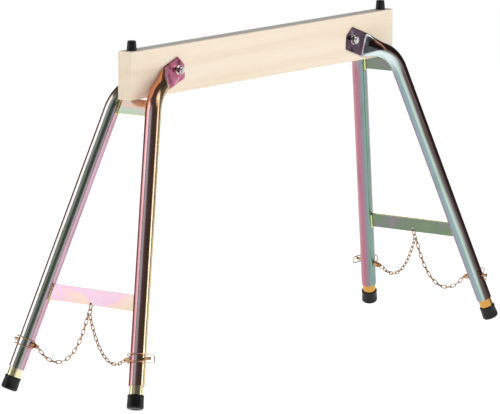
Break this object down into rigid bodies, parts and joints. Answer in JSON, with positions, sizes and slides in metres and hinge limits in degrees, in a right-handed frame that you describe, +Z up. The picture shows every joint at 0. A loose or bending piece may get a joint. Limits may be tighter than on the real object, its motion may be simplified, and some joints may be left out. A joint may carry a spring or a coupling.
{
  "type": "folding sawhorse",
  "caption": "Folding sawhorse with a timber beam on splayed tubular steel frames, telescopic legs with lock pins on chains and rubber feet.",
  "frame": {"origin": "on the floor, under the middle of the beam, with the legs run in", "axes": "+X along the beam, +Y from the nut side of the pivots to their head side, +Z up"},
  "size_m": [1.5572, 0.4352, 0.86],
  "materials": {
    "beam": "planed pale softwood, lightly sealed",
    "frame_steel": "glossy yellow iridescent zinc plating",
    "rubber": "satin black moulded rubber",
    "fasteners": "bright zinc plating",
    "chain": "yellow zinc plating, a little dull",
    "lock_pin": "yellow zinc plating"
  },
  "bodies": {
    "beam_set": {"beam": "beam", "top_stops": "rubber", "stop_screws": "fasteners", "pivot_bolts": "fasteners", "pivot_washers": "fasteners", "pivot_nuts": "fasteners"},
    "left_frame": {"left_front_leg": "frame_steel", "left_back_leg": "frame_steel", "left_upper_bar": "frame_steel", "left_lower_bar": "frame_steel", "left_eye_link": "chain", "left_front_chain": "chain", "left_back_chain": "chain"},
    "right_frame": {"right_front_leg": "frame_steel", "right_back_leg": "frame_steel", "right_upper_bar": "frame_steel", "right_lower_bar": "frame_steel", "right_eye_link": "chain", "right_front_chain": "chain", "right_back_chain": "chain"},
    "left_front_extension": {"left_front_inner_tube": "frame_steel", "left_front_foot": "rubber"},
    "left_front_lock_pin": {"left_front_pin": "lock_pin", "left_front_pin_ring": "lock_pin"},
    "left_front_pin_bail": {"left_front_bail": "lock_pin"},
    "left_back_extension": {"left_back_inner_tube": "frame_steel", "left_back_foot": "rubber"},
    "left_back_lock_pin": {"left_back_pin": "lock_pin", "left_back_pin_ring": "lock_pin"},
    "left_back_pin_bail": {"left_back_bail": "lock_pin"},
    "right_front_extension": {"right_front_inner_tube": "frame_steel", "right_front_foot": "rubber"},
    "right_front_lock_pin": {"right_front_pin": "lock_pin", "right_front_pin_ring": "lock_pin"},
    "right_front_pin_bail": {"right_front_bail": "lock_pin"},
    "right_back_extension": {"right_back_inner_tube": "frame_steel", "right_back_foot": "rubber"},
    "right_back_lock_pin": {"right_back_pin": "lock_pin", "right_back_pin_ring": "lock_pin"},
    "right_back_pin_bail": {"right_back_bail": "lock_pin"}
  },
  "joints": [
    {"name": "left_frame_fold", "type": "hinge", "parent": "beam_set", "child": "left_frame", "pos_m": [-0.3675, 0, 0.7735], "axis": [0, -1, 0], "range_deg": [0, 112.5]},
    {"name": "right_frame_fold", "type": "hinge", "parent": "beam_set", "child": "right_frame", "pos_m": [0.3675, 0, 0.7735], "axis": [0, 1, 0], "range_deg": [0, 105]},
    {"name": "left_front_leg_slide", "type": "slide", "parent": "left_frame", "child": "left_front_extension", "axis": [-0.3282, -0.1822, -0.9269], "range_m": [0, 0.3]},
    {"name": "left_front_pin_pull", "type": "slide", "parent": "left_frame", "child": "left_front_lock_pin", "axis": [-0.0608, 0.9833, -0.1718], "range_m": [0, 0.06], "deforming": ["left_front_chain"]},
    {"name": "left_front_bail_swing", "type": "hinge", "parent": "left_front_lock_pin", "child": "left_front_pin_bail", "pos_m": [-0.72139, -0.14885, 0.11574], "axis": [-0.3282, -0.1822, -0.9269], "range_deg": [0, 140]},
    {"name": "left_back_leg_slide", "type": "slide", "parent": "left_frame", "child": "left_back_extension", "axis": [-0.3282, 0.1822, -0.9269], "range_m": [0, 0.3]},
    {"name": "left_back_pin_pull", "type": "slide", "parent": "left_frame", "child": "left_back_lock_pin", "axis": [-0.0608, -0.9833, -0.1718], "range_m": [0, 0.06], "deforming": ["left_back_chain"]},
    {"name": "left_back_bail_swing", "type": "hinge", "parent": "left_back_lock_pin", "child": "left_back_pin_bail", "pos_m": [-0.72139, 0.14885, 0.11574], "axis": [0.3282, -0.1822, 0.9269], "range_deg": [0, 140]},
    {"name": "right_front_leg_slide", "type": "slide", "parent": "right_frame", "child": "right_front_extension", "axis": [0.3282, -0.1822, -0.9269], "range_m": [0, 0.3]},
    {"name": "right_front_pin_pull", "type": "slide", "parent": "right_frame", "child": "right_front_lock_pin", "axis": [0.0608, 0.9833, -0.1718], "range_m": [0, 0.06], "deforming": ["right_front_chain"]},
    {"name": "right_front_bail_swing", "type": "hinge", "parent": "right_front_lock_pin", "child": "right_front_pin_bail", "pos_m": [0.72139, -0.14885, 0.11574], "axis": [-0.3282, 0.1822, 0.9269], "range_deg": [0, 140]},
    {"name": "right_back_leg_slide", "type": "slide", "parent": "right_frame", "child": "right_back_extension", "axis": [0.3282, 0.1822, -0.9269], "range_m": [0, 0.3]},
    {"name": "right_back_pin_pull", "type": "slide", "parent": "right_frame", "child": "right_back_lock_pin", "axis": [0.0608, -0.9833, -0.1718], "range_m": [0, 0.06], "deforming": ["right_back_chain"]},
    {"name": "right_back_bail_swing", "type": "hinge", "parent": "right_back_lock_pin", "child": "right_back_pin_bail", "pos_m": [0.72139, 0.14885, 0.11574], "axis": [0.3282, 0.1822, -0.9269], "range_deg": [0, 140]}
  ],
  "couplings": [
    {"joint": "left_front_bail_swing", "follows": "left_front_pin_pull", "rad_per_m": 40.724},
    {"joint": "left_back_bail_swing", "follows": "left_back_pin_pull", "rad_per_m": 40.724},
    {"joint": "right_front_bail_swing", "follows": "right_front_pin_pull", "rad_per_m": 40.724},
    {"joint": "right_back_bail_swing", "follows": "right_back_pin_pull", "rad_per_m": 40.724}
  ]
}
